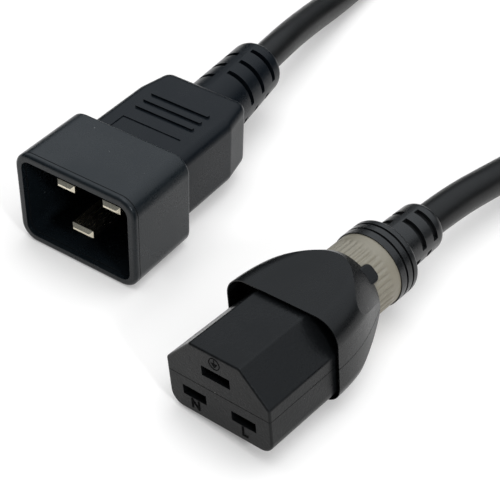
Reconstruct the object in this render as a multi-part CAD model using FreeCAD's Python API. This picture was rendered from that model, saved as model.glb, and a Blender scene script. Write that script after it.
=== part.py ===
import FreeCAD, Part
import math
import os

from FreeCAD import Placement, Rotation, Vector

# Power cord set: a bladed plug at one end, a locking connector at the other, cord coiled between.
# Millimetres, +Z up. Each end is built facing -Y with its mating face at y = 0, then laid on the floor.

# Contact layout that both ends share
pole_pitch = 13.0        # line to neutral, centre to centre
earth_offset = 8.0       # earth row to line and neutral row
touch = 0.05             # clearance of a wire in its crimp and a blade in its mould

# Cord and its three insulated wires
cord_d = 8.2
wire_r = 1.4
wire_ring_r = 2.2        # the wires' circle inside the jacket
jacket_grip = 9.5        # length of jacket held inside each strain relief
corner_share = 0.45      # share of the shorter run that an arc takes on each side

# Plug shroud
hood_w = 33.8
hood_h = 24.9
hood_l = 20.3
hood_r = 4.4
hood_wall = 1.9
hood_lip_r = 0.9
hood_back_r = 0.8
cavity_depth = 20.2
floor_t = 3.8

# Plug blades
blade_w = 5.0
earth_blade_w = 6.0
blade_t = 2.0
blade_tip = 4.2          # set back of the line and neutral tips behind the rim
earth_tip = 1.6
blade_bevel = 0.75
blade_row_up = 3.9       # line and neutral row above the plug's axis
tail_w = 3.0
tail_l = 4.0
crimp_wall = 0.6
crimp_l = 5.5
crimp_solid = 1.5

# Plug overmould with its strain relief
body_w = 27.4
body_h = 18.4
body_base_r = 3.0        # lower long edges
body_l = 30.2
body_taper_w = 2.0       # how far each side runs in along the tapered rear
body_taper_l = 9.5
body_edge_r = 2.6        # upper edges
body_corner_r = 3.0      # upright edges of the tapered rear
boss_corner_r = 1.0
body_skin = 2.6          # overmould round the shroud's boss
grip_rib_count = 3
grip_rib_l = 16.8
grip_rib_w = 1.1
grip_rib_h = 0.5
grip_rib_end_r = 0.4
grip_rib_pitch = 3.1
grip_rib_back = 10.6     # last rib from the rear face
panel_l = 6.4            # shallow bare panel between the shroud and the ribs
panel_gap = 1.6
panel_d = 0.25
relief_root_d = 16.5
relief_end_d = 14.2
relief_l = 26.5
relief_tilt = 5.6        # sideways set of the flexed relief
relief_end_r = 2.0

# Flex slots of both strain reliefs
slot_w = 1.6
slot_pitch = 6.1         # from one long slot to the next
slot_skin = 0.9          # sleeve left round the jacket under a slot
long_slot_deg = 82.0
short_slot_deg = 66.0
slot_turn_deg = 45.0     # middle of a long slot, from +X towards +Z

# Connector nose
nose_w = 27.0
nose_h = 18.8
nose_l = 19.8            # reach of the nose in front of the release shell
nose_bevel = 7.0
nose_corner_r = 3.2
nose_edge_r = 0.5
nose_bevel_r = 0.8       # long edges of the two bevels
nose_hold = 5.6          # length of nose block inside the shell
nose_split = -0.5        # joint of the nose and shell halves, from the axis
pole_row_down = 4.1      # line and neutral row below the connector's axis
mouth_w = 6.3
earth_mouth_w = 7.4
mouth_h = 2.45
face_t = 2.5
chamber_wall = 2.0
chamber_back_t = 2.0

# Connector contacts
contact_margin = 0.6     # contact wider than its mouth
contact_h = 3.4
contact_wall = 0.5
contact_l = 10.5
contact_room = 0.15
socket_crimp_l = 4.0
clamp_t = 0.6
clamp_l = 5.0
clamp_start = 5.0
clamp_room = 0.1

# Boss, grip collar, spring and release shell
boss_r = 7.2
boss_wall = 1.7
boss_l = 16.0
collar_r = 8.9
collar_seen = 8.5
collar_overlap = 3.0     # collar hidden under the shell at rest
collar_room = 0.1
knurl_count = 38
knurl_depth = 0.4
knurl_end_gap = 2.2      # plain band between the knurls and the flange
shell_gap = 0.6
shell_wall = 0.5
shell_lead_in = 0.25
shell_lead_l = 3.0
shell_l = 20.2
shell_bulge = 9.0        # how far back the full width is held
shell_round = 6.0        # length of the rounded run-in to the neck
shell_round_w = 2.4      # width of that run-in
neck_bulge = 0.3         # how far the turned neck swells past a cone
shell_top_r = 5.4
shell_base_r = 4.8
shell_web_t = 2.5
slide_room = 0.3
key_deg = 46.0           # raised key at the rear of the shell, from +X towards +Z
key_w = 4.4
key_h = 0.6
key_l = 6.0
key_reach = 1.9          # how far it laps over the collar
key_r = 0.5
key_corner_r = 1.5       # rounded corners of its rear end
spring_wire_r = 0.45
spring_turns = 3.0
spring_steps = 12        # arcs in a turn
spring_flats = 8         # the thin wire is drawn eight-sided

# Connector strain relief
flange_lip = 0.3         # flange larger than the collar
flange_l = 6.2
flange_groove_count = 2
flange_groove_w = 0.6
flange_groove_d = 0.5
flange_edge_r = 0.8
sleeve_root_d = 12.5
sleeve_end_d = 11.8
sleeve_l = 15.0
sleeve_slot_start = 3.6  # first slot row behind the flange
sleeve_slot_pitch = 4.4
spigot_room = 0.1
wire_room_l = 2.0        # open end of the spigot where the wires spread

# Lay of the connector beside the plug, as it lies on the floor
connector_x = 55.0
connector_y = -23.2
connector_yaw = -6.8
connector_roll = -7.3

# Coil of put-away cord, three and a half turns in two layers, and its tie
coil_x = 34.0
coil_y = 230.0
coil_mid_r = 41.5
coil_w = 17.6
coil_h = 17.0
coil_bevel = 3.0
tie_w = 7.0
tie_t = 1.2

# Free route of each lead from its strain relief to the coil; the ends come from the reliefs
lead_turn_out = 8.0      # straight cord past each relief before its first bend
lead_route = [(68.0, 74.0, 9.4), (72.4, 99.0, 5.6), (75.6, 124.0, 4.4), (77.8, 149.0, 4.4),
              (79.2, 174.0, 4.4), (79.8, 199.5, 4.4), (79.9, 224.5, 4.4)]
tail_route = [(-6.6, 106.0, 9.3), (-9.0, 129.0, 5.4), (-10.6, 152.0, 4.4), (-11.4, 175.5, 6.2),
              (-11.8, 199.5, 10.8), (-11.9, 224.5, 12.8)]

UP = Vector(0, 0, 1)
BACK = Vector(0, 1, 0)
ACROSS = Vector(1, 0, 0)
EPS = 1e-6

# Sizes that follow from the driving ones
cord_r = cord_d / 2
plug_axis_z = hood_h / 2
body_back = hood_l + body_l
shoulder_y = nose_l + nose_hold
web_back = shoulder_y + shell_web_t
shell_back = nose_l + shell_l
collar_y = shell_back - collar_overlap
flange_y = shell_back + collar_seen
sleeve_y = flange_y + flange_l
sleeve_back = sleeve_y + sleeve_l
boss_back = shoulder_y + boss_l
contact_back = face_t + contact_l
shell_half_w = nose_w / 2 + shell_gap + shell_wall
neck_r = collar_r + slide_room + shell_wall
shell_half_h = max(nose_h / 2 + shell_gap + shell_wall, neck_r)
mouth_top_r = shell_top_r - shell_wall
mouth_base_r = nose_corner_r + shell_gap
wire_angles = {"line": 30, "neutral": 150, "earth": 270}


def block(width, height, y0, y1, z_mid=0.0, x_mid=0.0):
    corner = Vector(x_mid - width / 2, y0, z_mid - height / 2)
    return Part.makeBox(width, y1 - y0, height, corner)


def rod(radius, y0, y1, x=0.0, z=0.0):
    return Part.makeCylinder(radius, y1 - y0, Vector(x, y0, z), BACK)


def runs_along(edge, way):
    span = edge.Vertexes[-1].Point - edge.Vertexes[0].Point
    return span.Length > EPS and span.cross(way).Length < EPS


def lies_at(edge, y):
    return all(abs(v.Y - y) < EPS for v in edge.Vertexes)


def lies_flat(edge, z):
    return all(abs(v.Z - z) < EPS for v in edge.Vertexes)


def edges_at(shape, y):
    return [e for e in shape.Edges if lies_at(e, y)]


def rounded_block(width, height, radius, y0, y1, z_mid=0.0):
    raw = block(width, height, y0, y1, z_mid)
    return raw.makeFillet(radius, [e for e in raw.Edges if runs_along(e, BACK)])


def route_wire(points):
    """Straight runs joined by tangent arcs, each as large as its two runs allow."""
    edges = []
    radii = []
    start = points[0]
    for before, corner, after in zip(points, points[1:], points[2:]):
        arriving = corner - before
        leaving = after - corner
        half_turn = arriving.getAngle(leaving) / 2
        reach = corner_share * min(arriving.Length, leaving.Length)
        radius = reach / math.tan(half_turn)
        inward = leaving.normalize() - arriving.normalize()
        bulge = radius / math.cos(half_turn) - radius
        enter = corner - arriving * reach
        leave = corner + leaving * reach
        middle = corner + inward.normalize() * bulge
        edges.append(Part.makeLine(start, enter))
        edges.append(Part.Arc(enter, middle, leave).toShape())
        radii.append(radius)
        start = leave
    edges.append(Part.makeLine(start, points[-1]))
    return Part.Wire(edges), radii


def tube(points, radius):
    path, _ = route_wire(points)
    ring = Part.Wire(Part.makeCircle(radius, points[0], points[1] - points[0]))
    return path.makePipeShell([ring], True, False)


def ring_sector(inner, outer, y, width, middle_deg, span_deg):
    """Part of a ring round the Y axis, angles from +X towards +Z."""
    flat = Part.makePolygon([Vector(inner, y, 0), Vector(outer, y, 0), Vector(outer, y + width, 0),
                             Vector(inner, y + width, 0), Vector(inner, y, 0)])
    sector = Part.Face(flat).revolve(Vector(), BACK, -span_deg)
    sector.rotate(Vector(), BACK, -(middle_deg - span_deg / 2))
    return sector


def flex_slots(y_first, y_last, outer, pitch):
    """Rows of short and long slots in turn, half a pitch apart, each over the ribs of the last."""
    cuts = []
    inner = cord_r + slot_skin
    row = 0
    y = y_first
    while y + slot_w < y_last:
        span = short_slot_deg if row % 2 == 0 else long_slot_deg
        turn = slot_turn_deg + 90 if row % 2 == 0 else slot_turn_deg
        for half in (0, 180):
            cuts.append(ring_sector(inner, outer, y, slot_w, turn + half, span))
        row += 1
        y += pitch / 2
    return cuts


def clear_run(held):
    """First run of a wire whose bend starts past the length that is held."""
    return (held + touch) / (1 - corner_share)


def wire_spot(pole, flip):
    """Middle of a wire in the cord; flip is -1 where the earth row lies above the others."""
    angle = math.radians(wire_angles[pole])
    return Vector(wire_ring_r * math.cos(angle), 0, flip * wire_ring_r * math.sin(angle))


# Plug

plug_poles = {"line": (pole_pitch / 2, blade_row_up), "neutral": (-pole_pitch / 2, blade_row_up),
              "earth": (0.0, blade_row_up - earth_offset)}
floor_back = cavity_depth + floor_t
crimp_y = floor_back + tail_l
relief_root = Vector(0, body_back, plug_axis_z)
relief_turn = Rotation(UP, relief_tilt)
relief_way = relief_turn.multVec(BACK)


def plug_blade(pole):
    x, up = plug_poles[pole]
    z = plug_axis_z + up
    width = earth_blade_w if pole == "earth" else blade_w
    tip = earth_tip if pole == "earth" else blade_tip
    blade = block(width, blade_t, tip, floor_back, z, x)
    blade = blade.makeChamfer(blade_bevel, edges_at(blade, tip))
    tail = block(tail_w, blade_t, floor_back, crimp_y + crimp_solid, z, x)
    barrel = rod(wire_r + touch + crimp_wall, crimp_y, crimp_y + crimp_l, x, z)
    bore = rod(wire_r + touch, crimp_y + crimp_solid, crimp_y + crimp_l, x, z)
    return blade.fuse([tail, barrel]).cut(bore).removeSplitter()


def plug_wire(pole):
    x, up = plug_poles[pole]
    z = plug_axis_z + up
    crimp_end = crimp_y + crimp_solid
    straight_y = crimp_end + clear_run(crimp_l - crimp_solid)
    spot = relief_turn.multVec(wire_spot(pole, 1))
    jacket_y = relief_l - jacket_grip
    return tube([Vector(x, crimp_end, z), Vector(x, straight_y, z),
                 relief_root + spot, relief_root + relief_way * jacket_y + spot], wire_r)


def plug_shroud():
    hood = rounded_block(hood_w, hood_h, hood_r, 0, hood_l, plug_axis_z)
    hood = hood.makeFillet(hood_lip_r, edges_at(hood, 0))
    hood = hood.makeFillet(hood_back_r, edges_at(hood, hood_l))
    boss = boss_block(hood_l - floor_t)
    inside_w, inside_h = hood_w - 2 * hood_wall, hood_h - 2 * hood_wall
    cavity = rounded_block(inside_w, inside_h, hood_r - hood_wall, -hood_wall, cavity_depth, plug_axis_z)
    return hood.fuse(boss).cut(cavity).cut([plug_blade(p) for p in plug_poles]).removeSplitter()


def boss_block(y0):
    return rounded_block(body_w - 2 * body_skin, body_h - 2 * body_skin, boss_corner_r, y0, floor_back,
                         plug_axis_z)


def plug_relief():
    """Tapered sleeve along +Y from its own root, with a rounded end."""
    root_r, end_r = relief_root_d / 2, relief_end_d / 2
    sunk = body_taper_l / 2
    root = rod(root_r, -sunk, EPS)
    cone = Part.makeCone(root_r, end_r, relief_l, Vector(), BACK)
    cone = cone.makeFillet(relief_end_r, edges_at(cone, relief_l))
    sleeve = root.fuse(cone).removeSplitter()
    return sleeve.cut(flex_slots(slot_pitch - slot_w / 2, relief_l - slot_w - relief_end_r, root_r + slot_w,
                                 slot_pitch))


def plug_body():
    half, inner = body_w / 2, body_w / 2 - body_taper_w
    taper_y = body_back - body_taper_l
    plan = [(-half, hood_l), (half, hood_l), (half, taper_y), (inner, body_back),
            (-inner, body_back), (-half, taper_y), (-half, hood_l)]
    base = plug_axis_z - body_h / 2
    outline = Part.Face(Part.makePolygon([Vector(x, y, base) for x, y in plan]))
    core = outline.extrude(UP * body_h)
    upright = [e for e in core.Edges if runs_along(e, UP) and not lies_at(e, hood_l)]
    core = core.makeFillet(body_corner_r, upright)
    top = base + body_h
    low = [e for e in core.Edges if lies_flat(e, base) and not lies_at(e, hood_l)]
    core = core.makeFillet(body_base_r, low)
    high = [e for e in core.Edges if lies_flat(e, top) and not lies_at(e, hood_l)]
    core = core.makeFillet(body_edge_r, high)
    relief = plug_relief()
    relief.Placement = Placement(relief_root, relief_turn)
    ribs = []
    for i in range(grip_rib_count):
        y = body_back - grip_rib_back - i * grip_rib_pitch
        rib = block(grip_rib_l, 2 * grip_rib_h, y - grip_rib_w, y, top)
        ribs.append(rib.makeFillet(grip_rib_end_r, [e for e in rib.Edges if runs_along(e, UP)]))
    panel = block(grip_rib_l, 2 * panel_d, hood_l + panel_gap, hood_l + panel_gap + panel_l, top)
    panel = panel.makeFillet(panel_d, [e for e in panel.Edges if runs_along(e, UP)])
    jacket = rod(cord_r, relief_l - jacket_grip, relief_l + cord_r)
    jacket.Placement = Placement(relief_root, relief_turn)
    inner_pieces = [plug_blade(p) for p in plug_poles] + [plug_wire(p) for p in plug_poles]
    body = core.cut(panel).fuse([relief] + ribs)
    return body.cut([boss_block(hood_l), jacket] + inner_pieces).removeSplitter()


# Connector, about its own axis

poles = {"line": (pole_pitch / 2, -pole_row_down), "neutral": (-pole_pitch / 2, -pole_row_down),
         "earth": (0.0, earth_offset - pole_row_down)}


def contact_width(pole):
    return (earth_mouth_w if pole == "earth" else mouth_w) + contact_margin


def nose_section(grow, y):
    """Nose outline at a depth: bevelled on the earth side, grown outward by a gap."""
    w, h = nose_w / 2 + grow, nose_h / 2 + grow
    cut = nose_bevel + grow * (2 - math.sqrt(2))
    r = nose_corner_r + grow
    s = r * math.sqrt(0.5)
    lower_left = Part.Arc(Vector(-w, y, -h + r), Vector(-w + r - s, y, -h + r - s), Vector(-w + r, y, -h))
    lower_right = Part.Arc(Vector(w - r, y, -h), Vector(w - r + s, y, -h + r - s), Vector(w, y, -h + r))
    corners = [Vector(w, y, -h + r), Vector(w, y, h - cut), Vector(w - cut, y, h),
               Vector(-w + cut, y, h), Vector(-w, y, h - cut), Vector(-w, y, -h + r)]
    sides = [Part.makeLine(a, b) for a, b in zip(corners, corners[1:])]
    base = Part.makeLine(Vector(-w + r, y, -h), Vector(w - r, y, -h))
    return Part.Wire([lower_left.toShape(), base, lower_right.toShape()] + sides)


def nose_prism(grow, y0, y1):
    return Part.Face(nose_section(grow, y0)).extrude(BACK * (y1 - y0))


def nose_core():
    """Both nose halves as one: block, boss, mouths, contact pockets and wire chamber."""
    nose = nose_prism(0, 0, shoulder_y)
    bevels = [e for e in nose.Edges if runs_along(e, BACK) and e.Vertexes[0].Z > 0]
    nose = nose.makeFillet(nose_bevel_r, bevels)
    nose = nose.makeFillet(nose_edge_r, edges_at(nose, 0))
    boss = rod(boss_r, shoulder_y - EPS, boss_back)
    cuts = [rod(boss_r - boss_wall, contact_back, boss_back + EPS)]
    cuts.append(nose_prism(-chamber_wall, contact_back, shoulder_y - chamber_back_t))
    for pole, (x, z) in poles.items():
        mouth = earth_mouth_w if pole == "earth" else mouth_w
        cuts.append(block(mouth, mouth_h, -EPS, face_t + EPS, z, x))
        grow = 2 * contact_room
        cuts.append(block(contact_width(pole) + grow, contact_h + grow, face_t, contact_back, z, x))
    wide, tall = clamp_outer()
    cuts.append(block(wide + 2 * contact_room, tall + 2 * contact_room, clamp_start - contact_room,
                      contact_back, poles["earth"][1]))
    return nose.fuse(boss).cut(cuts).removeSplitter()


def half_space(above, level):
    """Box round all of the connector that lies on one side of a level."""
    reach = sleeve_back + nose_w
    z_mid = level + reach / 2 if above else level - reach / 2
    return block(reach, reach, -nose_w, sleeve_back, z_mid)


def clamp_outer():
    grow = 2 * (clamp_t + clamp_room)
    return contact_width("earth") + grow, contact_h + grow


def socket_contact(pole):
    x, z = poles[pole]
    width = contact_width(pole)
    sleeve = block(width, contact_h, face_t, contact_back, z, x)
    hollow = block(width - 2 * contact_wall, contact_h - 2 * contact_wall, face_t,
                   contact_back - contact_wall, z, x)
    barrel = rod(wire_r + touch + contact_wall, contact_back, contact_back + socket_crimp_l, x, z)
    bore = rod(wire_r + touch, contact_back, contact_back + socket_crimp_l, x, z)
    return sleeve.fuse(barrel).cut([hollow, bore]).removeSplitter()


def earth_clamp():
    z = poles["earth"][1]
    wide, tall = clamp_outer()
    loop = block(wide, tall, clamp_start, clamp_start + clamp_l, z)
    grow = 2 * clamp_room
    return loop.cut(block(contact_width("earth") + grow, contact_h + grow, clamp_start - EPS,
                          clamp_start + clamp_l + EPS, z))


def connector_wire(pole):
    x, z = poles[pole]
    spot = wire_spot(pole, -1)
    gather_y = shoulder_y - chamber_back_t
    straight_y = contact_back + clear_run(socket_crimp_l)
    jacket_y = sleeve_back - jacket_grip
    return tube([Vector(x, contact_back, z), Vector(x, straight_y, z), Vector(spot.x, gather_y, spot.z),
                 Vector(spot.x, jacket_y, spot.z)], wire_r)


def grip_collar():
    """Ring whose knurls run out before they reach the flange."""
    ring = rod(collar_r, collar_y, flange_y)
    knurl_l = flange_y - knurl_end_gap - collar_y
    groove_r = knurl_depth * 2
    reach = collar_r - knurl_depth + groove_r
    grooves = []
    for i in range(knurl_count):
        angle = 2 * math.pi * i / knurl_count
        x, z = reach * math.cos(angle), reach * math.sin(angle)
        grooves.append(Part.makeCone(groove_r, groove_r - knurl_depth, knurl_l, Vector(x, collar_y, z), BACK))
    bore = rod(boss_r + collar_room, collar_y - EPS, flange_y + EPS)
    return ring.cut(grooves).cut(bore)


def return_spring():
    """Helix of short tangent arcs between the shell's web and the collar."""
    rise = collar_y - web_back - 2 * spring_wire_r
    mid_r = (boss_r + collar_r) / 2
    steps = round(spring_turns * spring_steps)
    points = []
    for i in range(steps + 1):
        angle = 2 * math.pi * i / spring_steps
        y = web_back + spring_wire_r + rise * i / steps
        points.append(Vector(mid_r * math.cos(angle), y, mid_r * math.sin(angle)))
    path, _ = route_wire(points)
    flats = Part.makePolygon([Vector(spring_wire_r * math.cos(a), spring_wire_r * math.sin(a), 0) for a in
                              [2 * math.pi * i / spring_flats for i in range(spring_flats + 1)]])
    flats.Placement = Placement(points[0], Rotation(UP, points[1] - points[0]))
    return path.makePipeShell([flats], True, False)


def shell_plan():
    """Bullet outline seen from above: full width at the mouth, rounded in to the neck."""
    corners = []
    flanks = []
    for side in (1, -1):
        wide, narrow = side * shell_half_w, side * neck_r
        curve = Part.BezierCurve()
        curve.setPoles([Vector(wide, nose_l, 0), Vector(wide, nose_l + shell_bulge, 0),
                        Vector(narrow + side * shell_round_w, shell_back - shell_round, 0),
                        Vector(narrow, shell_back, 0)])
        flanks.append(curve.toShape())
        corners.append((Vector(wide, nose_l, 0), Vector(narrow, shell_back, 0)))
    ends = [Part.makeLine(a, b) for a, b in zip(*corners)]
    return Part.Wire([flanks[0], ends[1], flanks[1], ends[0]])


def mouth_section(grow, y):
    """Shell's mouth at a depth: a rectangle with its own upper and lower corner radii."""
    w, h = nose_w / 2 + shell_gap + grow, nose_h / 2 + shell_gap + grow
    edges = []
    ends = []
    for across, up, radius in ((1, 1, mouth_top_r), (-1, 1, mouth_top_r), (-1, -1, mouth_base_r),
                               (1, -1, mouth_base_r)):
        r = radius + grow
        x, z = across * (w - r), up * (h - r)
        slant = r * math.sqrt(0.5)
        side, flat = Vector(across * w, y, z), Vector(x, y, up * h)
        middle = Vector(x + across * slant, y, z + up * slant)
        first, last = (side, flat) if across == up else (flat, side)
        edges.append(Part.Arc(first, middle, last).toShape())
        ends.append((first, last))
    for (_, last), (first, _) in zip(ends, ends[1:] + ends[:1]):
        edges.append(Part.makeLine(last, first))
    return Part.Wire(Part.__sortEdges__(edges))


def neck_sweep():
    """Turned solid that brings the shell's square section down to its round neck."""
    corner = math.hypot(nose_w / 2 - nose_corner_r, nose_h / 2 - nose_corner_r)
    wide = corner + mouth_base_r + shell_wall
    front, start = Vector(0, nose_l, 0), Vector(wide, shoulder_y, 0)
    end, back = Vector(neck_r, shell_back, 0), Vector(0, shell_back, 0)
    middle = (start + end) / 2 + Vector(neck_bulge, neck_bulge, 0)
    flank = Part.Arc(start, middle, end).toShape()
    corners = [end, back, front, Vector(wide, nose_l, 0), start]
    profile = Part.Wire([flank] + [Part.makeLine(a, b) for a, b in zip(corners, corners[1:])])
    return Part.Face(profile).revolve(Vector(), BACK, 360)


def shell_key():
    """Small rounded key on the shell's shoulder that laps over the collar."""
    corner = Vector(neck_r - shell_wall, shell_back - key_l, -key_w / 2)
    key = Part.makeBox(shell_wall + key_h, key_l + key_reach, key_w, corner)
    proud, rear = neck_r + key_h, shell_back + key_reach
    key = key.makeFillet(key_corner_r, [e for e in key.Edges if runs_along(e, ACROSS) and lies_at(e, rear)
                                        and abs(e.Vertexes[0].Z) > EPS])
    key = key.makeFillet(key_r, [e for e in key.Edges if all(abs(v.X - proud) < EPS for v in e.Vertexes)])
    key.rotate(Vector(), BACK, -key_deg)
    return key


def release_shell():
    """Both shell halves as one: mouth round the nose, web against its shoulder, bore over the collar."""
    outer = Part.Face(shell_plan()).extrude(UP * (2 * shell_half_h))
    outer.translate(UP * -shell_half_h)
    for radius, z in ((shell_top_r, shell_half_h), (shell_base_r, -shell_half_h)):
        flank = [e for e in outer.Edges if lies_flat(e, z) and not runs_along(e, ACROSS)]
        outer = outer.makeFillet(radius, flank)
    outer = outer.common(neck_sweep()).fuse(shell_key())
    lead_in = Part.makeLoft([mouth_section(shell_lead_in, nose_l), mouth_section(0, nose_l + shell_lead_l)],
                            True, True)
    mouth = Part.Face(mouth_section(0, nose_l)).extrude(BACK * nose_hold)
    guide = rod(boss_r + slide_room, shoulder_y, shell_back)
    neck = rod(collar_r + slide_room, web_back, shell_back)
    return outer.cut([lead_in, mouth, guide, neck])


def strain_relief():
    flange_r = collar_r + flange_lip
    flange = rod(flange_r, flange_y, sleeve_y)
    flange = flange.makeFillet(flange_edge_r, edges_at(flange, sleeve_y))
    grooves = []
    for i in range(flange_groove_count):
        y = flange_y + flange_l * (i + 1) / (flange_groove_count + 1) - flange_groove_w / 2
        cutter = rod(flange_r + flange_groove_d, y, y + flange_groove_w)
        grooves.append(cutter.cut(rod(flange_r - flange_groove_d, y, y + flange_groove_w)))
    root_r, end_r = sleeve_root_d / 2, sleeve_end_d / 2
    sleeve = Part.makeCone(root_r, end_r, sleeve_l, Vector(0, sleeve_y, 0), BACK)
    sleeve = sleeve.makeFillet(relief_end_r, edges_at(sleeve, sleeve_back))
    spigot = rod(boss_r + collar_room - spigot_room, boss_back, flange_y)
    slots = flex_slots(sleeve_y + sleeve_slot_start, sleeve_back - relief_end_r, root_r + slot_w,
                       sleeve_slot_pitch)
    jacket_y = sleeve_back - jacket_grip
    jacket = rod(cord_r, jacket_y, sleeve_back + EPS)
    wire_room = rod(boss_r - boss_wall, boss_back - EPS, boss_back + wire_room_l)
    wires = [connector_wire(p) for p in poles]
    return flange.fuse([sleeve, spigot]).cut(grooves + slots + [jacket, wire_room] + wires).removeSplitter()


# Assembly

plug_pieces = {"plug_shroud": plug_shroud(), "plug_body": plug_body()}
connector_pieces = {}
core = nose_core()
connector_pieces["nose_base"] = core.common(half_space(False, nose_split))
connector_pieces["nose_cover"] = core.common(half_space(True, nose_split))
shell = release_shell()
connector_pieces["release_shell_top"] = shell.common(half_space(True, nose_split))
connector_pieces["release_shell_bottom"] = shell.common(half_space(False, nose_split))
connector_pieces["return_spring"] = return_spring()
connector_pieces["grip_collar"] = grip_collar()
connector_pieces["strain_relief"] = strain_relief()
connector_pieces["earth_clamp"] = earth_clamp()
for pole in ("line", "neutral", "earth"):
    plug_pieces["plug_" + pole + "_blade"] = plug_blade(pole)
    plug_pieces["plug_" + pole + "_wire"] = plug_wire(pole)
    connector_pieces[pole + "_contact"] = socket_contact(pole)
    connector_pieces["connector_" + pole + "_wire"] = connector_wire(pole)

# The connector leans on the lower edge of its shell, which sets its height
lay = Rotation(UP, connector_yaw).multiply(Rotation(BACK, connector_roll))
leaning = shell.copy()
leaning.Placement = Placement(Vector(connector_x, connector_y, 0), lay)
connector_z = -leaning.optimalBoundingBox(False, False).ZMin
connector_place = Placement(Vector(connector_x, connector_y, connector_z), lay)
for piece in connector_pieces.values():
    piece.Placement = connector_place.multiply(piece.Placement)

# Cord, from the connector's relief through the coil to the plug's relief
lead_start = connector_place.multVec(Vector(0, sleeve_back - jacket_grip, 0))
lead_bend = connector_place.multVec(Vector(0, sleeve_back + lead_turn_out, 0))
tail_start = relief_root + relief_way * (relief_l - jacket_grip)
tail_bend = relief_root + relief_way * (relief_l + lead_turn_out)
routes = {"cord_lead": [lead_start, lead_bend] + [Vector(*p) for p in lead_route],
          "cord_tail": [tail_start, tail_bend] + [Vector(*p) for p in tail_route]}
cord_pieces = {}
for name, points in routes.items():
    path, radii = route_wire(points)
    cord_pieces[name] = tube(points, cord_r)
    share = cord_pieces[name].Volume / (math.pi * cord_r ** 2 * path.Length)
    print(name, "length %.1f, volume share %.4f, radii" % (path.Length, share), [round(r, 1) for r in radii])

# The coil's outer shape, with the tie let into it so that both rest on the floor
outer_r, inner_r = coil_mid_r + coil_w / 2, coil_mid_r - coil_w / 2
ring = Part.makeCylinder(outer_r, coil_h).cut(Part.makeCylinder(inner_r, coil_h))
ring = ring.makeChamfer(coil_bevel, [e for e in ring.Edges if not runs_along(e, UP)])
tie = block(tie_w, coil_h + tie_t, inner_r - tie_t, outer_r + tie_t, (coil_h + tie_t) / 2)
tie = tie.cut(block(tie_w, coil_h - tie_t, inner_r, outer_r, (coil_h + tie_t) / 2))
for piece in (ring, tie):
    piece.translate(Vector(coil_x, coil_y, 0))
cord_pieces["cord_coil"] = ring.cut([tie] + list(cord_pieces.values()))
cord_pieces["coil_tie"] = tie

# Origin at the middle of both connectors' footprint, on the floor
rigid = Part.makeCompound(list(plug_pieces.values()) + list(connector_pieces.values()))
extent = rigid.optimalBoundingBox(False, False)
origin = Vector((extent.XMin + extent.XMax) / 2, (extent.YMin + extent.YMax) / 2, extent.ZMin)
os.makedirs("parts", exist_ok=True)
for name, piece in {**plug_pieces, **connector_pieces, **cord_pieces}.items():
    piece.translate(-origin)
    piece.exportStep("parts/" + name + ".step")
    print(name, "solids", len(piece.Solids), "valid", piece.isValid(), "volume %.1f" % piece.Volume)
print("origin", origin, "connector height %.3f" % connector_z)
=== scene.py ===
import math

import bpy
from mathutils import Matrix, Vector


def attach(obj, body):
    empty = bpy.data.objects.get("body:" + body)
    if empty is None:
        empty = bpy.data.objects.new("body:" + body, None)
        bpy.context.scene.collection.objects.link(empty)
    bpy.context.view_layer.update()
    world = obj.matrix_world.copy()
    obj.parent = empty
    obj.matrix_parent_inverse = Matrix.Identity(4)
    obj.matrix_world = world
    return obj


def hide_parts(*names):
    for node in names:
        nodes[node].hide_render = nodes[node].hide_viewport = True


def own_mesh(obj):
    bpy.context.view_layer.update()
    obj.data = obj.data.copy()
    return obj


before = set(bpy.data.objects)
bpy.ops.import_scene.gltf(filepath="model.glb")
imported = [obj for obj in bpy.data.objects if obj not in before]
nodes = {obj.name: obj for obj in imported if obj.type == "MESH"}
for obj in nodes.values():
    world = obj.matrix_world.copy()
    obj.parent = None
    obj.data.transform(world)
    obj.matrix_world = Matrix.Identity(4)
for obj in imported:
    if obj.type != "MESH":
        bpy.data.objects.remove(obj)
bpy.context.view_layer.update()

MM = 0.001

# Plug shroud: one charcoal moulding round the blades, with a fine spark-eroded grain on its outside.
# The rim and the long edges are rubbed a little paler by handling; behind the rim a fine line, sunk a
# little in the bump, is darkened as painted shade where the rim's rounding meets the top.


def shader_group(name, inputs, outputs):
    """Empty node group with its named sockets; returns the tree and its two end nodes."""
    tree = bpy.data.node_groups.new(name, "ShaderNodeTree")
    for label, value in inputs.items():
        socket = tree.interface.new_socket(label, in_out="INPUT", socket_type="NodeSocketFloat")
        socket.default_value = value
    for label in outputs:
        tree.interface.new_socket(label, in_out="OUTPUT", socket_type="NodeSocketFloat")
    return tree, tree.nodes.new("NodeGroupInput"), tree.nodes.new("NodeGroupOutput")


def add(tree, kind, settings=None, **inputs):
    """New node with its settings; an input is a plain value or the socket that feeds it."""
    node = tree.nodes.new(kind)
    for key, value in (settings or {}).items():
        setattr(node, key, value)
    for label, value in inputs.items():
        numbered = label[0] == "i" and label[1:].isdigit()
        socket = node.inputs[int(label[1:]) if numbered else label.replace("_", " ")]
        if isinstance(value, bpy.types.NodeSocket):
            tree.links.new(value, socket)
        else:
            socket.default_value = value
    return node


def reckon(tree, operation, *values):
    """Result of one sum on plain values or sockets."""
    inputs = {"i%d" % place: value for place, value in enumerate(values)}
    return add(tree, "ShaderNodeMath", {"operation": operation}, **inputs).outputs[0]


def blend(tree, share, low, high):
    """Colour that goes from low to high with the share; each is a colour or a socket."""
    ends = [end if isinstance(end, bpy.types.NodeSocket) else (*end, 1) for end in (low, high)]
    return add(tree, "ShaderNodeMix", {"data_type": "RGBA"}, i0=share, i6=ends[0], i7=ends[1]).outputs[2]


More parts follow.
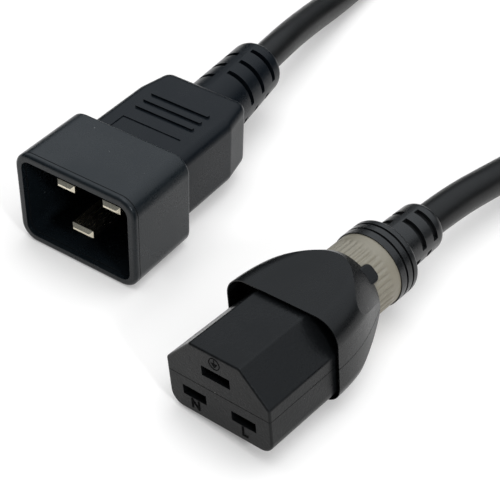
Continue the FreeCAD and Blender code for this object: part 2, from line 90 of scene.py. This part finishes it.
def moulded_grain_group():
    """Fine pitted grain of a spark-eroded mould, with slow changes of gloss."""
    tree, ins, outs = shader_group("moulded grain", {"Pits per metre": 2600.0, "Clouds per metre": 70.0},
                                   ["Height", "Gloss", "Tone"])
    place = add(tree, "ShaderNodeTexCoord").outputs["Object"]
    pits = add(tree, "ShaderNodeTexNoise", Vector=place, Scale=ins.outputs[0], Detail=3.0, Roughness=0.6)
    clouds = add(tree, "ShaderNodeTexNoise", Vector=place, Scale=ins.outputs[1], Detail=4.0, Roughness=0.55)
    tree.links.new(pits.outputs["Fac"], outs.inputs["Height"])
    flecks = reckon(tree, "MULTIPLY_ADD", pits.outputs["Fac"], 0.5, -0.25)
    gloss = reckon(tree, "ADD", flecks, clouds.outputs["Fac"])
    tone = reckon(tree, "MULTIPLY", pits.outputs["Fac"], clouds.outputs["Fac"])
    tree.links.new(gloss, outs.inputs["Gloss"])
    tree.links.new(tone, outs.inputs["Tone"])
    return tree


def edge_rub_group():
    """Where an edge turns sharply, broken up as handling rubs it."""
    tree, ins, outs = shader_group("edge rub", {"Reach": 0.0005, "Patches per metre": 300.0}, ["Rub"])
    place = add(tree, "ShaderNodeTexCoord").outputs["Object"]
    plain = add(tree, "ShaderNodeNewGeometry").outputs["Normal"]
    turned = add(tree, "ShaderNodeBevel", {"samples": 6}, Radius=ins.outputs["Reach"])
    same = add(tree, "ShaderNodeVectorMath", {"operation": "DOT_PRODUCT"}, i0=plain, i1=turned.outputs[0])
    bend = add(tree, "ShaderNodeMapRange", Value=same.outputs["Value"], From_Min=0.995, From_Max=0.86)
    patches = add(tree, "ShaderNodeTexNoise", Vector=place, Scale=ins.outputs[1], Detail=3.0)
    broken = add(tree, "ShaderNodeMapRange", Value=patches.outputs["Fac"], From_Min=0.35, From_Max=0.7)
    rub = reckon(tree, "MULTIPLY", bend.outputs[0], broken.outputs[0])
    tree.links.new(rub, outs.inputs["Rub"])
    return tree


def dust_group():
    """A few pale specks of dust, each in a cell of its own and most cells bare."""
    tree, ins, outs = shader_group("dust specks", {"Cells per metre": 260.0, "Speck": 0.035,
                                                   "Bare share": 0.72}, ["Dust"])
    place = add(tree, "ShaderNodeTexCoord").outputs["Object"]
    cells = add(tree, "ShaderNodeTexVoronoi", Vector=place, Scale=ins.outputs["Cells per metre"])
    near = reckon(tree, "LESS_THAN", cells.outputs["Distance"], ins.outputs["Speck"])
    chance = add(tree, "ShaderNodeSeparateColor", i0=cells.outputs["Color"])
    kept = reckon(tree, "GREATER_THAN", chance.outputs[0], ins.outputs["Bare share"])
    tree.links.new(reckon(tree, "MULTIPLY", near, kept), outs.inputs["Dust"])
    return tree


def parting_or_shade_line_group():
    """Thin line along a plane in the piece's own place: where two moulded halves meet, or painted shade
    along an edge.
    """
    tree, ins, outs = shader_group("parting or shade line", {"Normal X": 0.0, "Normal Y": 0.0, "Normal Z": 1.0,
                                                    "Level": 0.0, "Half width": 0.00009}, ["Line"])
    place = add(tree, "ShaderNodeTexCoord").outputs["Object"]
    normal = add(tree, "ShaderNodeCombineXYZ", i0=ins.outputs[0], i1=ins.outputs[1], i2=ins.outputs[2])
    level = add(tree, "ShaderNodeVectorMath", {"operation": "DOT_PRODUCT"}, i0=place, i1=normal.outputs[0])
    off = reckon(tree, "ABSOLUTE", reckon(tree, "SUBTRACT", level.outputs["Value"], ins.outputs["Level"]))
    line = reckon(tree, "LESS_THAN", off, ins.outputs["Half width"])
    tree.links.new(line, outs.inputs["Line"])
    return tree


moulded_grain = moulded_grain_group()
edge_rub = edge_rub_group()
dust_specks = dust_group()
parting_or_shade_line = parting_or_shade_line_group()
dust_grey = (0.16, 0.16, 0.155)
line_depth = 3.0
line_w = 0.18 * MM


def moulded_material(name, dark, pale, worn, roughness, gloss_swing, pits, depth, specular):
    """Moulded compound: grain in the normal, clouds in the gloss, paler where its edges are rubbed."""
    material = bpy.data.materials.new(name)
    material.use_nodes = True
    tree = material.node_tree
    shader = tree.nodes["Principled BSDF"]
    shader.inputs["Specular IOR Level"].default_value = specular
    grain = add(tree, "ShaderNodeGroup", {"node_tree": moulded_grain})
    grain.inputs["Pits per metre"].default_value = pits
    rub = add(tree, "ShaderNodeGroup", {"node_tree": edge_rub})
    dust = add(tree, "ShaderNodeGroup", {"node_tree": dust_specks})
    body = blend(tree, grain.outputs["Tone"], dark, pale)
    edged = blend(tree, rub.outputs["Rub"], body, worn)
    colour = blend(tree, dust.outputs["Dust"], edged, dust_grey)
    gloss = add(tree, "ShaderNodeMapRange", Value=grain.outputs["Gloss"], From_Min=0.3, From_Max=0.7,
                To_Min=roughness - gloss_swing, To_Max=roughness + gloss_swing)
    bump = add(tree, "ShaderNodeBump", Height=grain.outputs["Height"], Strength=0.6, Distance=depth)
    tree.links.new(colour, shader.inputs["Base Color"])
    tree.links.new(gloss.outputs[0], shader.inputs["Roughness"])
    tree.links.new(bump.outputs[0], shader.inputs["Normal"])
    return material


def dress(material, *names):
    """The material takes the place of the plain one on these solids."""
    for name in names:
        mesh = nodes[name].data
        mesh.materials.clear()
        mesh.materials.append(material)


def show_joint_or_shade_line(material, name, point, normal, width):
    """Dark matt line in a solid's material along a plane: where parts of the mould or two halves meet, or
    painted shade.
    """
    inward = nodes[name].matrix_world.inverted()
    normal = inward.to_3x3() @ normal
    tree = material.node_tree
    shader = tree.nodes["Principled BSDF"]
    joint = add(tree, "ShaderNodeGroup", {"node_tree": parting_or_shade_line}, Normal_X=normal.x, Normal_Y=normal.y,
                Normal_Z=normal.z, Level=normal.dot(inward @ point), Half_width=width / 2)
    line = joint.outputs["Line"]
    bump = shader.inputs["Normal"].links[0].from_node
    paint, gloss, height = (socket.links[0].from_socket for socket in (
        shader.inputs["Base Color"], shader.inputs["Roughness"], bump.inputs["Height"]))
    tree.links.new(blend(tree, line, paint, (0, 0, 0)), shader.inputs["Base Color"])
    tree.links.new(reckon(tree, "MAXIMUM", line, gloss), shader.inputs["Roughness"])
    tree.links.new(reckon(tree, "MULTIPLY_ADD", line, -line_depth, height), bump.inputs["Height"])


shroud_plastic = moulded_material("charcoal plug plastic", dark=(0.0045, 0.0068, 0.0085),
                                  pale=(0.0115, 0.0155, 0.0185), worn=(0.024, 0.026, 0.028), roughness=0.29,
                                  gloss_swing=0.08, pits=2600.0, depth=0.00006, specular=0.25)
dress(shroud_plastic, "plug_shroud")
# Painted shade: a line behind the rim is black in the colour where the rim's rounding meets the top; the
# bump sinks it a little.
rim_line_back = 1.4 * MM
rim_line_w = 0.22 * MM
shroud = nodes["plug_shroud"]
rim_front = min((shroud.matrix_world @ Vector(corner)).y for corner in shroud.bound_box)
show_joint_or_shade_line(shroud_plastic, "plug_shroud", Vector((0, rim_front + rim_line_back, 0)), Vector((0, 1, 0)),
           rim_line_w)

# Plug blades: stamped brass with a dull nickel plate, crimped to the wires inside the moulding.
# The plate shows the lengthwise marks of the rolled strip.


def plated_material(name, colour, shade, roughness, along):
    """Plated strip metal with drawn marks along one axis."""
    material = bpy.data.materials.new(name)
    material.use_nodes = True
    tree = material.node_tree
    shader = tree.nodes["Principled BSDF"]
    shader.inputs["Metallic"].default_value = 1.0
    place = add(tree, "ShaderNodeTexCoord").outputs["Object"]
    drawn = add(tree, "ShaderNodeMapping", Vector=place, Scale=along)
    marks = add(tree, "ShaderNodeTexNoise", Vector=drawn.outputs[0], Scale=2400.0, Detail=4.0)
    blotch = add(tree, "ShaderNodeTexNoise", Vector=place, Scale=420.0, Detail=3.0)
    tint = blend(tree, blotch.outputs["Fac"], shade, colour)
    gloss = add(tree, "ShaderNodeMapRange", Value=marks.outputs["Fac"], To_Min=roughness - 0.1,
                To_Max=roughness + 0.12)
    bump = add(tree, "ShaderNodeBump", Height=marks.outputs["Fac"], Strength=0.3, Distance=0.00002)
    tree.links.new(tint, shader.inputs["Base Color"])
    tree.links.new(gloss.outputs[0], shader.inputs["Roughness"])
    tree.links.new(bump.outputs[0], shader.inputs["Normal"])
    return material


along_strip = (1.0, 0.06, 1.0)
nickel_plate = plated_material("dull nickel plate", colour=(0.72, 0.67, 0.55), shade=(0.58, 0.53, 0.42),
                               roughness=0.24, along=along_strip)
dress(nickel_plate, "plug_line_blade", "plug_neutral_blade", "plug_earth_blade")

# Plug body: softer black compound moulded over the shroud's boss, the crimps and the jacket's end.
# Its grip ribs, bare panel and slotted strain relief come from the one mould.

soft_black = moulded_material("soft black compound", dark=(0.0028, 0.0044, 0.0064),
                              pale=(0.0075, 0.0098, 0.0125), worn=(0.014, 0.015, 0.017), roughness=0.30,
                              gloss_swing=0.05, pits=2200.0, depth=0.00004, specular=0.12)
dress(soft_black, "plug_body")

# Wires inside both ends: stranded copper under coloured insulation, brown, blue and green with yellow.
# They are gathered in the jacket and spread to the crimps.


def insulation_material(name, colour, stripe=None):
    """Smooth extruded insulation; the earth wire has a second colour in stripes."""
    material = bpy.data.materials.new(name)
    material.use_nodes = True
    tree = material.node_tree
    shader = tree.nodes["Principled BSDF"]
    place = add(tree, "ShaderNodeTexCoord").outputs["Object"]
    cloud = add(tree, "ShaderNodeTexNoise", Vector=place, Scale=600.0, Detail=3.0)
    shade = tuple(0.75 * c for c in colour)
    paint = blend(tree, cloud.outputs["Fac"], shade, colour)
    if stripe:
        bands = add(tree, "ShaderNodeTexWave", {"bands_direction": "DIAGONAL"}, Vector=place, Scale=120.0)
        sharp = add(tree, "ShaderNodeMapRange", Value=bands.outputs["Fac"], From_Min=0.62, From_Max=0.68)
        paint = blend(tree, sharp.outputs[0], paint, stripe)
    gloss = add(tree, "ShaderNodeMapRange", Value=cloud.outputs["Fac"], To_Min=0.35, To_Max=0.5)
    tree.links.new(paint, shader.inputs["Base Color"])
    tree.links.new(gloss.outputs[0], shader.inputs["Roughness"])
    return material


insulation = {"line": insulation_material("brown insulation", (0.16, 0.07, 0.03)),
              "neutral": insulation_material("blue insulation", (0.03, 0.10, 0.35)),
              "earth": insulation_material("green and yellow insulation", (0.06, 0.26, 0.05),
                                           stripe=(0.72, 0.56, 0.04))}
for pole, material in insulation.items():
    dress(material, "plug_" + pole + "_wire", "connector_" + pole + "_wire")

# Connector nose: two charcoal halves joined at the middle, with a slot for each blade.
# The face carries the usual letters for line and neutral and the ringed earth sign, a little proud of it;
# their near-black matt colour is painted shade, standing for the shade inside sunk letters.

nose_plastic = moulded_material("connector nose plastic", dark=(0.0036, 0.004, 0.0044),
                                pale=(0.009, 0.0095, 0.0098), worn=(0.0095, 0.0095, 0.0092), roughness=0.33,
                                gloss_swing=0.10, pits=1700.0, depth=0.00008, specular=0.14)
dress(nose_plastic, "nose_base", "nose_cover")
nose_place = Matrix.Translation((0.027052, -0.049481, 0.011699)) @ Matrix.Rotation(
    math.radians(-6.8), 4, "Z") @ Matrix.Rotation(math.radians(-7.3), 4, "Y")


halves_meet = nose_place @ Vector((0, 0, -0.5 * MM))
nose_up = nose_place.to_3x3() @ Vector((0, 0, 1))
show_joint_or_shade_line(nose_plastic, "nose_base", halves_meet, nose_up, line_w)
upright = Matrix.Rotation(math.radians(90), 4, "X")
mark_proud = 0.10 * MM
mark_bold = 0.07 * MM
letter_size = 3.3 * MM
letter_up = -6.9 * MM
pole_out = 6.5 * MM
# Near-black matt marks: painted shade in place of the dark inside sunk letters.
lettering_painted_shade = moulded_material("lettering black as painted recess shade", dark=(0.0015, 0.0015, 0.0016),
                              pale=(0.003, 0.003, 0.003), worn=(0.004, 0.004, 0.004), roughness=0.8,
                              gloss_swing=0.05, pits=2600.0, depth=0.00001, specular=0.04)
for letter, across in (("N", -pole_out), ("L", pole_out)):
    text = bpy.data.curves.new("face_letter_" + letter, "FONT")
    text.body = letter
    text.size = letter_size
    text.align_x = "CENTER"
    text.align_y = "CENTER"
    text.extrude = mark_proud
    text.offset = mark_bold
    text.materials.append(lettering_painted_shade)
    mark = bpy.data.objects.new("face_letter_" + letter, text)
    bpy.context.scene.collection.objects.link(mark)
    mark.matrix_world = nose_place @ Matrix.Translation((across, 0, letter_up)) @ upright
    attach(mark, "cord_set")

earth_lines = bpy.data.curves.new("face_earth_sign", "CURVE")
earth_lines.dimensions = "3D"
earth_lines.bevel_depth = mark_proud
earth_lines.bevel_resolution = 2
earth_lines.use_fill_caps = True
sign_up = 7.3 * MM
sign_r = 1.35 * MM
stem_l = 1.0 * MM
bar_half = 0.8 * MM
bar_narrows = 0.28 * MM
bar_pitch = 0.36 * MM
bar_count = 3
ring_steps = 28
ring_turns = [2 * math.pi * i / ring_steps for i in range(ring_steps)]
ring_line = [(sign_r * math.cos(turn), sign_r * math.sin(turn)) for turn in ring_turns]
sign_lines = [(ring_line, True), ([(0, stem_l), (0, 0)], False)]
for bar in range(bar_count):
    half, down = bar_half - bar_narrows * bar, -bar_pitch * bar
    sign_lines.append(([(-half, down), (half, down)], False))
for line, closed in sign_lines:
    stroke = earth_lines.splines.new("POLY")
    stroke.points.add(len(line) - 1)
    for point, (x, y) in zip(stroke.points, line):
        point.co = (x, y, 0, 1)
    stroke.use_cyclic_u = closed
earth_lines.materials.append(lettering_painted_shade)
earth_sign = bpy.data.objects.new("face_earth_sign", earth_lines)
bpy.context.scene.collection.objects.link(earth_sign)
earth_sign.matrix_world = nose_place @ Matrix.Translation((0, 0, sign_up)) @ upright
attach(earth_sign, "cord_set")

# Socket contacts and the earth clamp inside the nose: folded plated strip, the clamp of spring steel.
# The clamp grips the earth blade until the release shell is drawn back.

contact_plate = plated_material("plated contact strip", colour=(0.66, 0.56, 0.36), shade=(0.52, 0.43, 0.26),
                                roughness=0.32, along=along_strip)
spring_steel = plated_material("bright spring steel", colour=(0.56, 0.56, 0.57), shade=(0.42, 0.42, 0.44),
                               roughness=0.28, along=(0.2, 1.0, 0.2))
dress(contact_plate, "line_contact", "neutral_contact", "earth_contact")
dress(spring_steel, "earth_clamp", "return_spring")

# Release shell: two thin black halves that slide back along the nose to let the earth blade go.
# Its outside is handled most, so it is a little smoother than the nose.

shell_plastic = moulded_material("release shell plastic", dark=(0.0042, 0.0045, 0.0047),
                                 pale=(0.0105, 0.011, 0.0112), worn=(0.012, 0.0122, 0.0122), roughness=0.28,
                                 gloss_swing=0.06, pits=2300.0, depth=0.00003, specular=0.15)
dress(shell_plastic, "release_shell_top", "release_shell_bottom")
show_joint_or_shade_line(shell_plastic, "release_shell_top", halves_meet, nose_up, line_w)

# Grip collar: warm grey plastic ring moulded with straight knurls, fixed on the nose's boss.
# The knurls run out softly before the flange; the fingers push on them while the shell is drawn back.

collar_r = 8.9 * MM
collar_bore_r = 7.3 * MM
collar_front = 37.0 * MM
collar_back = 48.5 * MM
knurl_count = 38
knurl_depth = 0.34 * MM
knurl_end = collar_back - 2.0 * MM
knurl_fade = 1.8 * MM
collar_rows = 30
collar_sides = 10 * knurl_count


def ease(t):
    """Smooth step from 0 to 1."""
    t = min(max(t, 0.0), 1.0)
    return t * t * (3 - 2 * t)


def knurled_ring(name):
    """Closed ring along its own Y: knurled rows outside, then the plain bore."""
    verts = []
    for row in range(collar_rows + 1):
        along = collar_front + (collar_back - collar_front) * row / collar_rows
        depth = knurl_depth * ease((knurl_end - along) / knurl_fade)
        for side in range(collar_sides):
            angle = 2 * math.pi * side / collar_sides
            radius = collar_r - depth * (0.5 + 0.5 * math.cos(knurl_count * angle)) ** 2
            verts.append((radius * math.cos(angle), along, radius * math.sin(angle)))
    for along in (collar_back, collar_front):
        for side in range(collar_sides):
            angle = 2 * math.pi * side / collar_sides
            verts.append((collar_bore_r * math.cos(angle), along, collar_bore_r * math.sin(angle)))
    rings = collar_rows + 3
    faces = []
    for ring in range(rings):
        here, after = ring * collar_sides, (ring + 1) % rings * collar_sides
        for side in range(collar_sides):
            beyond = (side + 1) % collar_sides
            faces.append((here + side, after + side, after + beyond, here + beyond))
    mesh = bpy.data.meshes.new(name)
    mesh.from_pydata(verts, [], faces)
    mesh.validate()
    mesh.shade_smooth()
    mesh.set_sharp_from_angle(angle=math.radians(50))
    return mesh


collar_plastic = moulded_material("warm grey collar plastic", dark=(0.182, 0.160, 0.119),
                                  pale=(0.264, 0.235, 0.177), worn=(0.30, 0.27, 0.205), roughness=0.5,
                                  gloss_swing=0.06, pits=2000.0, depth=0.00004, specular=0.5)
dress(collar_plastic, "grip_collar")
collar = bpy.data.objects.new("knurled_collar", knurled_ring("knurled_collar"))
bpy.context.scene.collection.objects.link(collar)
collar.matrix_world = nose_place
collar.data.materials.append(collar_plastic)
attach(collar, "cord_set")
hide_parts("grip_collar")

# Return spring: spring wire wound in three open turns round the boss, between the shell's web and the
# collar. It is squeezed while the shell is drawn back and pushes the shell forward again.

spring_front = 27.9 * MM
spring_r = 8.05 * MM
spring_wire_r = 0.45 * MM
spring_turns = 3
spring_steps = 28
wire_sides = 10


def spring_mesh(name):
    """Closed wire along a helix on its own Y."""
    low, high = spring_front + spring_wire_r, collar_front - spring_wire_r
    sections = spring_turns * spring_steps + 1
    verts = []
    for i in range(sections):
        angle = 2 * math.pi * i / spring_steps
        outward = Vector((math.cos(angle), 0, math.sin(angle)))
        middle = spring_r * outward + Vector((0, low + (high - low) * i / (sections - 1), 0))
        for k in range(wire_sides):
            around = 2 * math.pi * k / wire_sides
            offset = outward * math.cos(around) + Vector((0, math.sin(around), 0))
            verts.append(middle + spring_wire_r * offset)
    faces = [tuple(reversed(range(wire_sides))), tuple(range(len(verts) - wire_sides, len(verts)))]
    for i in range(sections - 1):
        for k in range(wire_sides):
            m = (k + 1) % wire_sides
            a, b = i * wire_sides, (i + 1) * wire_sides
            faces.append((a + k, a + m, b + m, b + k))
    mesh = bpy.data.meshes.new(name)
    mesh.from_pydata(verts, [], faces)
    mesh.validate()
    mesh.shade_smooth()
    return mesh


spring = bpy.data.objects.new("spring_wire", spring_mesh("spring_wire"))
bpy.context.scene.collection.objects.link(spring)
spring.matrix_world = nose_place
spring.data.materials.append(spring_steel)
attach(spring, "cord_set")
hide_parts("return_spring")
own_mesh(spring)

# Connector strain relief: black compound moulded on the jacket, with a ringed flange and flex slots.
# Its spigot fills the end of the nose's boss.

relief_black = moulded_material("strain relief compound", dark=(0.006, 0.0063, 0.0066),
                                pale=(0.013, 0.0135, 0.014), worn=(0.020, 0.020, 0.020), roughness=0.30,
                                gloss_swing=0.06, pits=2200.0, depth=0.00004, specular=0.30)
dress(relief_black, "strain_relief")

# Cord: three wires in one round black jacket, about 1.26 m from relief to relief.
# The spare length lies behind the two ends in a tied coil, two turns wide and two high.

cord_d = 8.2 * MM
lead_points = [(0.03416, 0.01030, 0.0117), (0.03623, 0.02767, 0.0117), (0.04003, 0.04772, 0.0094),
               (0.04443, 0.07272, 0.0056), (0.04763, 0.09772, 0.0044), (0.04983, 0.12272, 0.0044),
               (0.05123, 0.14772, 0.0044), (0.05183, 0.17322, 0.0044), (0.05193, 0.19822, 0.0044)]
tail_points = [(-0.03987, 0.19822, 0.0128), (-0.03977, 0.17322, 0.0108), (-0.03937, 0.14922, 0.0062),
               (-0.03857, 0.12572, 0.0044), (-0.03697, 0.10272, 0.0054), (-0.03457, 0.07972, 0.0093),
               (-0.03133, 0.05855, 0.01245), (-0.02963, 0.04114, 0.01245)]
coil_mid = Vector((0.00603, 0.20372, 0.0))
coil_lanes = [(0.0459, 0.0044), (0.0371, 0.0044), (0.0371, 0.0128), (0.0459, 0.0128)]
points_per_turn = 24
coil_turns = 3.5
lane_change = 0.25
lane_tuck = 3.2 * MM
tie_t = 1.2 * MM


def coil_point(step):
    """Point of the put-away coil: it keeps its lane for most of a turn, then moves to the next."""
    turn, part = divmod(step / points_per_turn, 1)
    here = coil_lanes[int(turn)]
    after = coil_lanes[min(int(turn) + 1, len(coil_lanes) - 1)]
    share = ease((part - 1 + lane_change) / lane_change)
    radius = (here[0] + (after[0] - here[0]) * share) / math.cos(math.pi / points_per_turn)
    if after[1] > here[1]:
        radius -= lane_tuck * math.sin(math.pi * share)
    angle = 2 * math.pi * part
    lift = tie_t * max(0.0, math.sin(angle)) ** 8
    height = here[1] + (after[1] - here[1]) * share + lift
    return coil_mid + Vector((radius * math.cos(angle), radius * math.sin(angle), height))


coil_points = [coil_point(step) for step in range(1, int(coil_turns * points_per_turn))]
cord_line = bpy.data.curves.new("cord", "CURVE")
cord_line.dimensions = "3D"
cord_line.bevel_depth = cord_d / 2
cord_line.bevel_resolution = 8
cord_line.resolution_u = 6
cord_line.use_fill_caps = True
route = [Vector(p) for p in lead_points] + coil_points + [Vector(p) for p in tail_points]
spline = cord_line.splines.new("NURBS")
spline.points.add(len(route) - 1)
for point, place in zip(spline.points, route):
    point.co = (*place, 1.0)
spline.order_u = 3
spline.use_endpoint_u = True
cord = bpy.data.objects.new("cord", cord_line)
bpy.context.scene.collection.objects.link(cord)
jacket_black = moulded_material("black cord jacket", dark=(0.005, 0.005, 0.005),
                                pale=(0.010, 0.010, 0.0098), worn=(0.010, 0.010, 0.0098), roughness=0.36,
                                gloss_swing=0.06, pits=900.0, depth=0.00003, specular=0.18)
cord_line.materials.append(jacket_black)
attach(cord, "cord_set")
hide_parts("cord_lead", "cord_coil", "cord_tail")

# Coil tie: a short black woven strap, wrapped round the turns at the far side and closed on itself.
# The turns lie in it two wide and two high.


def woven_material(name, dark, pale, threads):
    """Plain weave of a narrow strap, in thread direction across and along."""
    material = bpy.data.materials.new(name)
    material.use_nodes = True
    tree = material.node_tree
    shader = tree.nodes["Principled BSDF"]
    shader.inputs["Roughness"].default_value = 0.75
    place = add(tree, "ShaderNodeTexCoord").outputs["Object"]
    warp = add(tree, "ShaderNodeTexWave", {"bands_direction": "X"}, Vector=place, Scale=threads)
    weft = add(tree, "ShaderNodeTexWave", {"bands_direction": "DIAGONAL"}, Vector=place, Scale=threads)
    weave = reckon(tree, "MULTIPLY", warp.outputs["Fac"], weft.outputs["Fac"])
    bump = add(tree, "ShaderNodeBump", Height=weave, Strength=0.7, Distance=0.0002)
    tree.links.new(blend(tree, weave, dark, pale), shader.inputs["Base Color"])
    tree.links.new(bump.outputs[0], shader.inputs["Normal"])
    return material


def strap_path(stand_off):
    """Closed way round the stacked turns, as (out from the coil's middle, up) pairs."""
    corners = [(coil_lanes[i][0], coil_lanes[i][1] + tie_t) for i in (1, 0, 3, 2)]
    path = []
    for i, (out, rise) in enumerate(corners):
        before, after = corners[i - 1], corners[(i + 1) % len(corners)]
        start = math.atan2(before[0] - out, rise - before[1])
        turn = (math.atan2(out - after[0], after[1] - rise) - start) % (2 * math.pi)
        for k in range(corner_steps + 1):
            angle = start + turn * k / corner_steps
            path.append((out + stand_off * math.cos(angle), rise + stand_off * math.sin(angle)))
    return path


corner_steps = 8
tie_w = 7.0 * MM
strap_round = 0.25 * MM


def strap_mesh(name, inner, outer):
    """Flat strap between two like paths, with its edges eased."""
    half = tie_w / 2
    flat = half - strap_round
    verts = []
    faces = []
    section = len(inner)
    for (near_out, near_up), (far_out, far_up) in zip(inner, outer):
        for along, deep in ((-flat, 0), (-half, 0.25), (-half, 0.75), (-flat, 1),
                            (flat, 1), (half, 0.75), (half, 0.25), (flat, 0)):
            verts.append(coil_mid + Vector((along, near_out + (far_out - near_out) * deep,
                                            near_up + (far_up - near_up) * deep)))
    sides = len(verts) // section
    for i in range(section):
        j = (i + 1) % section
        for k in range(sides):
            m = (k + 1) % sides
            faces.append((i * sides + k, j * sides + k, j * sides + m, i * sides + m))
    mesh = bpy.data.meshes.new(name)
    mesh.from_pydata(verts, [], faces)
    mesh.validate()
    return mesh


strap_in = strap_path(cord_d / 2)
strap_out = strap_path(cord_d / 2 + tie_t)
tie = bpy.data.objects.new("tie_strap", strap_mesh("tie_strap", strap_in, strap_out))
bpy.context.scene.collection.objects.link(tie)
tie.data.materials.append(woven_material("black woven strap", dark=(0.008, 0.008, 0.008),
                                         pale=(0.022, 0.022, 0.022), threads=700.0))
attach(tie, "cord_set")
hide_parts("coil_tie")

# Floor, light and camera: a white studio floor under a soft ceiling of light, brighter toward the back
# and overhead, with dark walls, and one softbox at the front right.

floor_mesh = bpy.data.meshes.new("floor")
reach = 40.0
floor_corners = [(-reach, -reach, 0), (reach, -reach, 0), (reach, reach, 0), (-reach, reach, 0)]
floor_mesh.from_pydata(floor_corners, [], [(0, 1, 2, 3)])
floor = bpy.data.objects.new("floor", floor_mesh)
bpy.context.scene.collection.objects.link(floor)
floor_white = bpy.data.materials.new("white studio floor")
floor_white.use_nodes = True
tree = floor_white.node_tree
shader = tree.nodes["Principled BSDF"]
shader.inputs["Base Color"].default_value = (0.80, 0.755, 0.715, 1)
shader.inputs["Roughness"].default_value = 0.9
shader.inputs["Specular IOR Level"].default_value = 0.0
shader.inputs["Emission Color"].default_value = (1, 1, 1, 1)
light_path = add(tree, "ShaderNodeLightPath")
seen = reckon(tree, "MAXIMUM", light_path.outputs["Is Camera Ray"], light_path.outputs["Is Glossy Ray"])
seen = reckon(tree, "MAXIMUM", seen, light_path.outputs["Is Transmission Ray"])
floor_glow = 0.22
tree.links.new(reckon(tree, "MULTIPLY", seen, floor_glow), shader.inputs["Emission Strength"])
floor_mesh.materials.append(floor_white)

daylight = (0.93, 0.985, 1.04)
world = bpy.data.worlds.new("studio")
world.use_nodes = True
bpy.context.scene.world = world
tree = world.node_tree
way = add(tree, "ShaderNodeTexCoord").outputs["Generated"]
parts = add(tree, "ShaderNodeSeparateXYZ", i0=way)
height = parts.outputs["Z"]
soft_edge = {"interpolation_type": "SMOOTHSTEP"}
ceiling = add(tree, "ShaderNodeMapRange", soft_edge, Value=height, From_Min=0.28, From_Max=0.6,
              To_Min=0.03, To_Max=1.1)
overhead = add(tree, "ShaderNodeMapRange", soft_edge, Value=height, From_Min=0.84, From_Max=0.96,
               To_Min=0.0, To_Max=2.1)
behind = add(tree, "ShaderNodeMapRange", soft_edge, Value=parts.outputs["Y"], From_Min=-0.4, From_Max=0.4,
             To_Min=0.25, To_Max=1.4)
light = reckon(tree, "MULTIPLY_ADD", ceiling.outputs[0], behind.outputs[0], overhead.outputs[0])
tree.nodes["Background"].inputs["Color"].default_value = (*daylight, 1)
tree.links.new(light, tree.nodes["Background"].inputs["Strength"])

lamp = bpy.data.lights.new("front right softbox", "AREA")
lamp.shape = "SQUARE"
lamp.size = 0.12
lamp.energy = 3.0
lamp.color = daylight
softbox = bpy.data.objects.new("front right softbox", lamp)
bpy.context.scene.collection.objects.link(softbox)
softbox.location = (0.75, -0.33, 0.50)
softbox.rotation_euler = (Vector((0, 0, 0.01)) - softbox.location).to_track_quat("-Z", "Y").to_euler()

camera_data = bpy.data.cameras.new("camera")
camera_data.lens = 93.6
camera_data.sensor_width = 36.0
camera = bpy.data.objects.new("camera", camera_data)
bpy.context.scene.collection.objects.link(camera)
azimuth, elevation, roll = (math.radians(a) for a in (32.778, 41.013, 2.068))
back = Vector((math.sin(azimuth) * math.cos(elevation), -math.cos(azimuth) * math.cos(elevation),
               math.sin(elevation)))
right = Vector((0, 0, 1)).cross(back).normalized()
up = back.cross(right)
turned_right = right * math.cos(roll) + up * math.sin(roll)
turned_up = up * math.cos(roll) - right * math.sin(roll)
camera.matrix_world = Matrix.Translation((0.124820, -0.191362, 0.198489)) @ Matrix(
    (turned_right, turned_up, back)).transposed().to_4x4()
bpy.context.scene.camera = camera
bpy.context.scene.view_settings.view_transform = "Standard"
